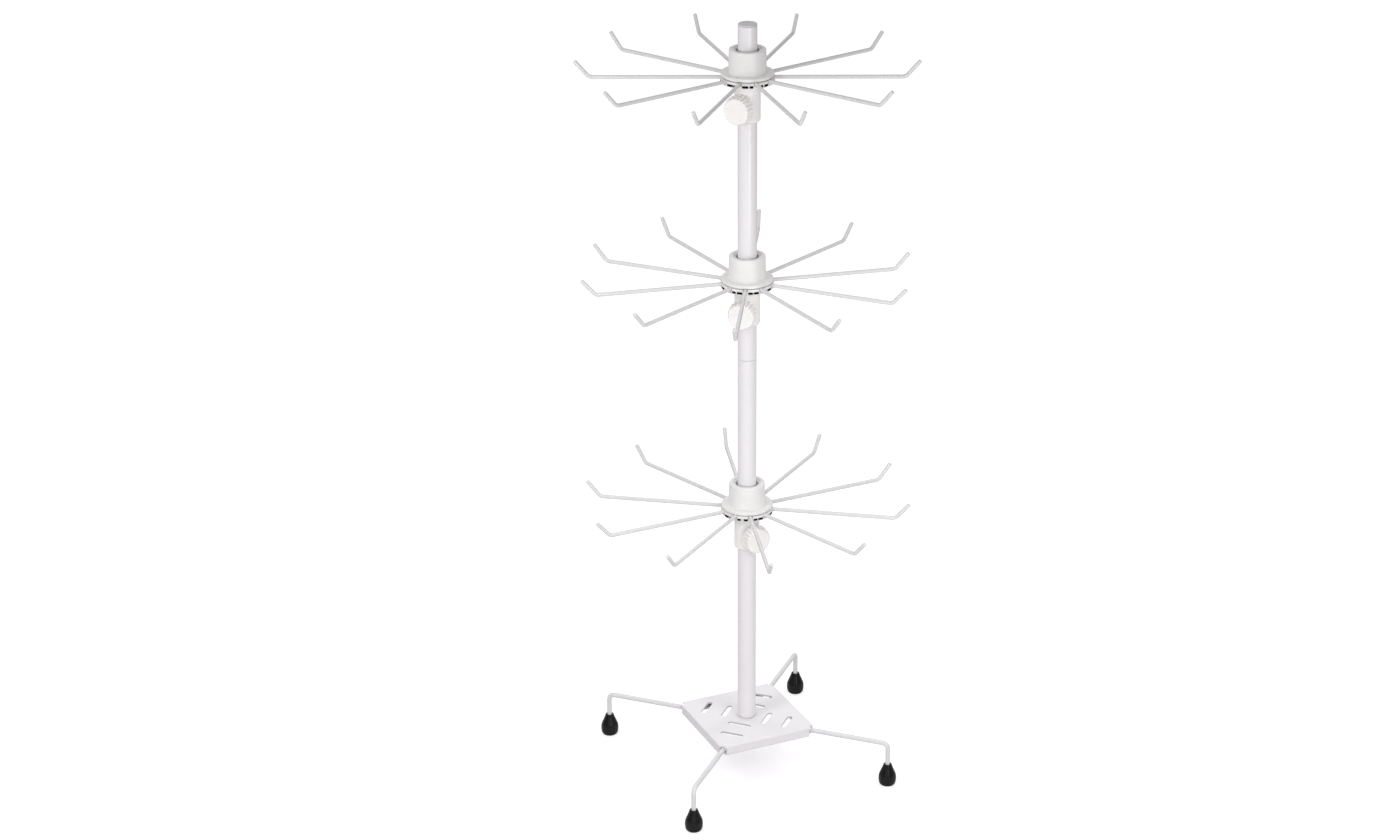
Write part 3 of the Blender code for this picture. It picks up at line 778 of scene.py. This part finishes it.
def foot_mesh():
    """A pear-shaped cap with faint ribs down its shoulder, a rolled lip and a ringed sole."""
    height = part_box("foot_cap_right")[1].z
    socket = LEG_WIRE + GAP
    rows = 30
    sides = FOOT_RIBS * 6
    bm = bmesh.new()
    rings = []
    for radius in SOLE_RADII:
        groove = SOLE_GROOVE_DEPTH if radius in SOLE_GROOVES else 0
        rings.append([(radius, groove)] * sides)
    for row in range(rows + 1):
        share = row / rows
        level = height * share
        reach = smooth_value(FOOT_SHAPE, level / MM) * MM
        rib = FOOT_RIB_DEPTH * math.sin(math.pi * min(1, max(0, (share - 0.2) / 0.75)))
        lip = FOOT_LIP * math.exp(-((share - 0.955) / 0.03) ** 2)
        ring = []
        for step in range(sides):
            wave = (1 - math.cos(FOOT_RIBS * step * math.tau / sides)) / 2
            ring.append((reach - rib * wave + lip, level))
        rings.append(ring)
    for radius, level in (
        (socket + FOOT_EDGE, height),
        (socket, height - FOOT_EDGE),
        (socket, FOOT_FLOOR + FOOT_EDGE),
        (socket - FOOT_EDGE, FOOT_FLOOR),
        (SOLE_RADII[0], FOOT_FLOOR),
    ):
        rings.append([(radius, level)] * sides)
    loops = []
    for ring in rings:
        loop = []
        for step, (radius, level) in enumerate(ring):
            angle = step * math.tau / sides
            loop.append(bm.verts.new((radius * math.cos(angle), radius * math.sin(angle), level)))
        loops.append(loop)
    bridge(bm, loops)
    bm.faces.new(loops[0])
    bm.faces.new(loops[-1])
    return finished_mesh(bm, "foot_boot")


def smooth_value(table, at):
    """The value of a smooth curve through (place, value) points."""
    for index, (low, high) in enumerate(zip(table, table[1:])):
        if at <= high[0] or index == len(table) - 2:
            break
    before = table[max(0, index - 1)]
    after = table[min(len(table) - 1, index + 2)]
    span = high[0] - low[0]
    share = min(1, max(0, (at - low[0]) / span))
    rise_low = (high[1] - before[1]) / (high[0] - before[0]) * span
    rise_high = (after[1] - low[1]) / (after[0] - low[0]) * span
    square = share * share
    cube = square * share
    return (
        (2 * cube - 3 * square + 1) * low[1]
        + (cube - 2 * square + share) * rise_low
        + (3 * square - 2 * cube) * high[1]
        + (cube - square) * rise_high
    )


def bolt_mesh():
    """A hexagon flange bolt, head down, with a rolled thread."""
    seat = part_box("base_plate")[1].z - SHEET - GAP
    flange_bottom = seat - BOLT_FLANGE_HEIGHT
    head_bottom = seat - BOLT_HEAD_HEIGHT
    corner_radius = BOLT_ACROSS_FLATS / 2 / math.cos(math.radians(30))
    head_top = flange_bottom + 0.5 * MM
    head = cylinder_mesh("base_flange_bolt", corner_radius, head_bottom, head_top, sides=6)
    chamfer = turned("chamfer", [
        (0, seat, 0),
        (corner_radius + 1 * MM, seat, 0),
        (corner_radius + 1 * MM, head_bottom + 1.2 * MM, 0),
        (BOLT_ACROSS_FLATS / 2 - 0.3 * MM, head_bottom, 0),
        (0, head_bottom, 0),
    ], 48)
    flange = turned("flange", [
        (0, seat, 0),
        (BOLT_FLANGE_RADIUS, seat, 0.2 * MM),
        (BOLT_FLANGE_RADIUS, flange_bottom + 0.5 * MM, 0.3 * MM),
        (BOLT_FLANGE_RADIUS - 2 * MM, flange_bottom, 0.5 * MM),
        (0, flange_bottom, 0),
    ], 64, 3)
    rod = threaded_rod("thread", BOLT_RADIUS, BOLT_PITCH, seat - 0.7 * MM, seat + BOLT_LENGTH, 0.55, 40)
    return carved(head, [("INTERSECT", chamfer), ("UNION", flange), ("UNION", rod)])


def build_base():
    place = turn_to("foot_cap_right")
    plate_turn = place @ Matrix.Rotation(math.radians(-45), 4, "Z")
    add_piece(
        "folded_plate", plate_mesh(), [], "stand", ["base_plate"], plate_turn
    )
    add_piece("base_flange_bolt", bolt_mesh(), [ZINC], "stand", ["base_bolt"])
    leg = leg_mesh()
    foot = foot_mesh()
    reach = middle_of("foot_cap_right").to_2d().length
    for name in ("right", "back", "left", "front"):
        cap = f"foot_cap_{name}"
        place = turn_to(cap)
        add_piece(
            f"leg_wire_{name}", leg, [WIRE_COAT], "stand", [f"leg_{name}"], place
        )
        place = place @ Matrix.Translation((reach, 0, 0))
        add_piece(f"foot_boot_{name}", foot, [RUBBER], "stand", [cap], place)


# The tiers.


def hub_mesh():
    """A thick sleeve with a flange, and a spigot that the ring snaps on to."""
    rim = HUB_RADIUS - HUB_RIM
    under = RING_TOP + GAP
    return turned("hub_moulding", [
        (rim, HUB_TOP, 0.5 * MM),
        (HUB_RADIUS, HUB_TOP, 1.0 * MM),
        (HUB_RADIUS + HUB_DRAFT, FLANGE_TOP, 1.0 * MM),
        (FLANGE_RADIUS, FLANGE_TOP, 0.9 * MM),
        (FLANGE_RADIUS, under, 0.3 * MM),
        (SPIGOT_RADIUS, under, 0.2 * MM),
        (SPIGOT_RADIUS, SPIGOT_BOTTOM, 0.3 * MM),
        (HUB_BORE, SPIGOT_BOTTOM, 0.3 * MM),
        (HUB_BORE, HUB_TOP - HUB_RECESS, 0.35 * MM),
        (rim, HUB_TOP - HUB_RECESS, 0.3 * MM),
    ])


def bush_mesh():
    outer = HUB_BORE - GAP
    bore = POLE_RADIUS + BUSH_CLEARANCE
    shoulder = SPIGOT_BOTTOM - GAP
    return turned("bush_sleeve", [
        (outer, BUSH_TOP, 0.5 * MM),
        (outer, shoulder, 0.2 * MM),
        (BUSH_FLANGE, shoulder, 0.3 * MM),
        (BUSH_FLANGE, RING_BOTTOM, 0.3 * MM),
        (bore, RING_BOTTOM, 0.3 * MM),
        (bore, BUSH_TOP, 0.4 * MM),
    ])


def ring_mesh():
    """The ring that holds the hooks: a socket for each, and a window with a web between."""
    inner = SPIGOT_RADIUS + GAP
    neck = RING_RADIUS - GROOVE_DEPTH
    body = turned("hook_ring", [
        (neck, RING_TOP, 0.1 * MM),
        (neck, RING_TOP - GROOVE_HEIGHT, 0.2 * MM),
        (RING_RADIUS, RING_TOP - GROOVE_HEIGHT, 0.5 * MM),
        (RING_RADIUS, RING_BOTTOM, 1.0 * MM),
        (inner, RING_BOTTOM, 0.3 * MM),
        (inner, RING_TOP, 0.3 * MM),
    ], 120)
    body.materials.append(HUB_PLASTIC)
    # painted shade: the faces inside the windows take the near-black colour
    body.materials.append(PAINTED_SHADE_HOLLOW)
    cuts = []
    past = 2 * MM
    pitch = math.tau / HOOKS
    depth = WINDOW_DEPTH + past
    for hook in range(HOOKS):
        for name, radius, start in (
            ("socket", HOOK_WIRE + GAP, RING_RADIUS - SOCKET_DEPTH),
            ("mouth", HOOK_WIRE + 2 * GAP, RING_RADIUS - 0.3 * MM),
        ):
            cut = cylinder_mesh(name, radius, 0, RING_RADIUS + past - start, sides=20)
            cut.transform(outward(hook * pitch, start))
            cuts.append(("DIFFERENCE", cut))
    for window, (offset, width, setback) in enumerate(WEBS):
        turn = (window + 0.5) * pitch
        web = offset * MM
        half_web = width * MM / 2
        half_window = WINDOW_WIDTH / 2
        for start, end in ((-half_window, web - half_web), (web + half_web, half_window)):
            opening = box_mesh(
                "opening", (depth, end - start, WINDOW_HEIGHT),
                (RING_RADIUS - WINDOW_DEPTH + depth / 2, (start + end) / 2, WINDOW_CENTRE),
                turn, 0.5 * MM,
            )
            # the window's inner faces carry the near-black painted shade
            opening.materials.append(PAINTED_SHADE_HOLLOW)
            cuts.append(("DIFFERENCE", opening))
        reach = setback * MM + past
        face = box_mesh(
            "web_face", (reach, width * MM + 1.4 * MM, WINDOW_HEIGHT - 0.3 * MM),
            (RING_RADIUS + past - reach / 2, web, WINDOW_CENTRE), turn,
        )
        face.materials.append(HUB_PLASTIC)
        cuts.append(("DIFFERENCE", face))
    return carved(body, cuts)


def hook_mesh():
    """A hook along +X: a straight arm with its rounded end bent up and out."""
    corners = [
        Vector((RING_RADIUS - SOCKET_DEPTH + GAP, 0, 0)),
        Vector((HOOK_REACH, 0, 0)),
        Vector((HOOK_REACH + HOOK_TIP_OUT, 0, HOOK_TIP_UP)),
    ]
    return wire("hook_wire", bent_path(corners, HOOK_BEND, 10), HOOK_WIRE, 1.1 * MM, 18)


def outward(angle, distance, height=0.0):
    """The frame of something that points out from the pole along its own Z axis."""
    turn = Matrix.Rotation(angle, 4, "Z") @ Matrix.Rotation(QUARTER_TURN, 4, "Y")
    return Matrix.Translation((0, 0, height)) @ turn @ Matrix.Translation((0, 0, distance))


def collar_mesh(screw_height):
    """The locking collar, its foot rounded, with a filleted boss for the thumb screw on +X."""
    bore = POLE_RADIUS + GAP
    top = RING_BOTTOM - GAP
    sleeve = turned("clamp_collar", [
        (COLLAR_RADIUS, top, 0.4 * MM),
        (COLLAR_RADIUS, COLLAR_BOTTOM, COLLAR_ROUND),
        (bore, COLLAR_BOTTOM, 0.2 * MM),
        (bore, top, 0.2 * MM),
    ], 96, 8)
    root = (bore + COLLAR_RADIUS) / 2
    boss = turned("boss", [
        (0, BOSS_FACE, 0),
        (BOSS_RADIUS, BOSS_FACE, 0.5 * MM),
        (BOSS_RADIUS, COLLAR_RADIUS - 0.2 * MM, 1.4 * MM),
        (BOSS_RADIUS + 1.6 * MM, COLLAR_RADIUS - 1.3 * MM, 0),
        (BOSS_RADIUS + 0.6 * MM, root, 0),
        (0, root, 0),
    ], 48)
    place = outward(0, 0, screw_height)
    boss.transform(place)
    hole = cylinder_mesh("hole", SCREW_RADIUS + GAP, 0, BOSS_FACE + 2 * MM, sides=32)
    hole.transform(place)
    return carved(sleeve, [("UNION", boss), ("DIFFERENCE", hole)])


def knob_mesh():
    """The fluted, tapered head of the thumb screw."""
    sides = KNOB_FLUTES * 10
    face = KNOB_RADIUS * KNOB_TAPER
    outline = filleted([
        (0, KNOB_THICKNESS, 0),
        (face, KNOB_THICKNESS, KNOB_ROUND),
        (KNOB_RADIUS, 0, 0.6 * MM),
        (0, 0, 0),
    ], 6)[1:-1]
    bm = bmesh.new()
    loops = []
    rows = [
        (radius, KNOB_THICKNESS - KNOB_DISHING * (1 - (radius / face) ** 2), 0.0)
        for radius in KNOB_FACE_RADII
    ]
    rows += [(radius, height, 1.0) for radius, height in outline]
    rows += [(radius, 0.0, 0.0) for radius in KNOB_BACK_RADII]
    for radius, height, fluted in rows:
        fade_back = min(1, height / (1.2 * MM) + 0.35)
        fade_face = min(1, (KNOB_THICKNESS - height) / (1.4 * MM) + 0.25)
        eased = fluted * fade_back * fade_face
        ring = []
        for step in range(sides):
            angle = step * math.tau / sides
            wave = abs(math.cos(KNOB_FLUTES * angle / 2)) ** 0.8 * 2 - 1
            reach = radius + KNOB_FLUTE_DEPTH * eased * wave - KNOB_FLUTE_DEPTH * 0.5 * fluted
            ring.append(bm.verts.new((reach * math.cos(angle), reach * math.sin(angle), height)))
        loops.append(ring)
    bridge(bm, loops)
    bm.faces.new(loops[0])
    bm.faces.new(loops[-1])
    return finished_mesh(bm, "thumb_knob")


def screw_mesh():
    """The knob's stud: a threaded rod from its back towards the pole."""
    tip = POLE_RADIUS + GAP - (BOSS_FACE + GAP)
    return threaded_rod("knob_stud", SCREW_RADIUS, SCREW_PITCH, tip, -0.02 * MM, 0.5, 32)


def build_spinner(tier, height, shapes):
    body = f"{tier}_spinner"
    first = Matrix.Translation((0, 0, height)) @ turn_to(f"{tier}_hook_01")
    hub = f"{tier}_hub"
    add_piece(f"{hub}_moulding", shapes["hub"], [HUB_PLASTIC], body, [hub], first)
    bush = f"{tier}_bush"
    add_piece(f"{bush}_sleeve", shapes["bush"], [NYLON], body, [bush], first)
    clocked = first @ Matrix.Rotation(RING_CLOCKING[tier] * math.tau / HOOKS, 4, "Z")
    ring = f"{tier}_arm_ring"
    add_piece(f"{tier}_hook_ring", shapes["ring"], [], body, [ring], clocked)
    for hook in range(1, HOOKS + 1):
        node = f"{tier}_hook_{hook:02}"
        place = Matrix.Translation((0, 0, height)) @ turn_to(node)
        name = f"{tier}_hook_wire_{hook:02}"
        add_piece(name, shapes["hook"], [WIRE_COAT], body, [node], place)


def build_lock(tier, height, shapes):
    screw = joint(f"{tier}_thumb_turn")
    direction = math.atan2(screw["axis"][1], screw["axis"][0])
    turn = Matrix.Translation((0, 0, height)) @ Matrix.Rotation(direction, 4, "Z")
    node = f"{tier}_locking_collar"
    name = f"{tier}_clamp_collar"
    add_piece(name, shapes["collar"], [MILKY], f"{tier}_lock", [node], turn)
    axis = outward(direction, BOSS_FACE + GAP, screw["pos_m"][2])
    body = f"{tier}_screw"
    node = f"{tier}_thumb_screw"
    add_piece(f"{tier}_thumb_knob", shapes["knob"], [MILKY], body, [node], axis)
    add_piece(f"{tier}_knob_stud", shapes["stud"], [ZINC], body, [], axis)


def build_tiers():
    heights = {tier: joint(f"{tier}_spin")["pos_m"][2] for tier in TIERS}
    screw_height = joint("top_thumb_turn")["pos_m"][2] - heights["top"]
    shapes = {
        "hub": hub_mesh(),
        "bush": bush_mesh(),
        "ring": ring_mesh(),
        "hook": hook_mesh(),
        "collar": collar_mesh(screw_height),
        "knob": knob_mesh(),
        "stud": screw_mesh(),
    }
    for tier in TIERS:
        build_spinner(tier, heights[tier], shapes)
        build_lock(tier, heights[tier], shapes)


# Studio.


def add_camera():
    lens = bpy.data.cameras.new("camera")
    lens.lens = LENS
    lens.sensor_width = 36.0
    lens.shift_x = SHIFT_X
    lens.clip_end = 60.0
    camera = bpy.data.objects.new("camera", lens)
    bpy.context.scene.collection.objects.link(camera)
    camera.matrix_world = (
        Matrix.Translation((0, -CAMERA_BACK, CAMERA_HEIGHT))
        @ Matrix.Rotation(QUARTER_TURN - CAMERA_DOWN, 4, "X")
        @ Matrix.Rotation(CAMERA_ROLL, 4, "Z")
    )
    bpy.context.scene.camera = camera


def add_panel(name, centre, target, width, height, power, reflected):
    """A softbox at centre, facing target. The camera doesn't see it, and gloss may not."""
    light = bpy.data.lights.new(name, "AREA")
    light.shape = "RECTANGLE"
    light.size = width
    light.size_y = height
    light.energy = power
    panel = bpy.data.objects.new(name, light)
    bpy.context.scene.collection.objects.link(panel)
    panel.location = centre
    panel.rotation_euler = (Vector(target) - Vector(centre)).to_track_quat("-Z", "Y").to_euler()
    panel.visible_camera = False
    panel.visible_glossy = reflected


def add_world():
    """Even, dim surroundings. Reflections see them darker, as a room round a light tent, and
    the camera sees them as white as the floor."""
    world = bpy.data.worlds.new("studio")
    bpy.context.scene.world = world
    world.use_nodes = True
    background = world.node_tree.nodes["Background"]
    background.inputs["Color"].default_value = (1.0, 0.985, 1.0, 1)
    nodes = world.node_tree.nodes
    links = world.node_tree.links
    path = nodes.new("ShaderNodeLightPath")
    unseen = nodes.new("ShaderNodeMapRange")
    unseen.inputs["To Min"].default_value = WORLD_LIT
    unseen.inputs["To Max"].default_value = WORLD_REFLECTED
    links.new(path.outputs["Is Glossy Ray"], unseen.inputs["Value"])
    strength = nodes.new("ShaderNodeMapRange")
    strength.inputs["To Max"].default_value = WORLD_SEEN
    links.new(unseen.outputs["Result"], strength.inputs["To Min"])
    links.new(path.outputs["Is Camera Ray"], strength.inputs["Value"])
    links.new(strength.outputs["Result"], background.inputs["Strength"])


def add_floor():
    """A white floor with a glow that only the camera sees, so that its shadows stay faint."""
    bm = bmesh.new()
    bmesh.ops.create_grid(bm, x_segments=8, y_segments=8, size=FLOOR_SIZE)
    mesh = bpy.data.meshes.new("floor")
    bm.to_mesh(mesh)
    bm.free()
    material, shader, place = new_material("pale_floor", (0.6, 0.585, 0.6), 0.6)
    shader.inputs["Specular IOR Level"].default_value = 0.1
    shader.inputs["Emission Color"].default_value = (1, 1, 1, 1)
    nodes = material.node_tree.nodes
    links = material.node_tree.links
    distance = nodes.new("ShaderNodeVectorMath")
    distance.operation = "LENGTH"
    links.new(place, distance.inputs[0])
    glow = ranged(material, distance.outputs["Value"], *FLOOR_GLOW, *FLOOR_GLOW_DISTANCES)
    seen = nodes.new("ShaderNodeMath")
    seen.operation = "MULTIPLY"
    links.new(glow, seen.inputs[0])
    links.new(nodes.new("ShaderNodeLightPath").outputs["Is Camera Ray"], seen.inputs[1])
    links.new(seen.outputs["Value"], shader.inputs["Emission Strength"])
    mesh.materials.append(material)
    floor = bpy.data.objects.new("floor", mesh)
    bpy.context.scene.collection.objects.link(floor)


def build_studio():
    """A key panel in front, small ones round the rack, one low in front, one at the back that
    the plate reflects, and a strip that the pole reflects."""
    add_world()
    add_floor()
    for panel in PANELS:
        add_panel(*panel)
    bpy.context.scene.view_settings.view_transform = "Standard"


add_camera()
build_pole()
build_base()
build_tiers()
build_studio()
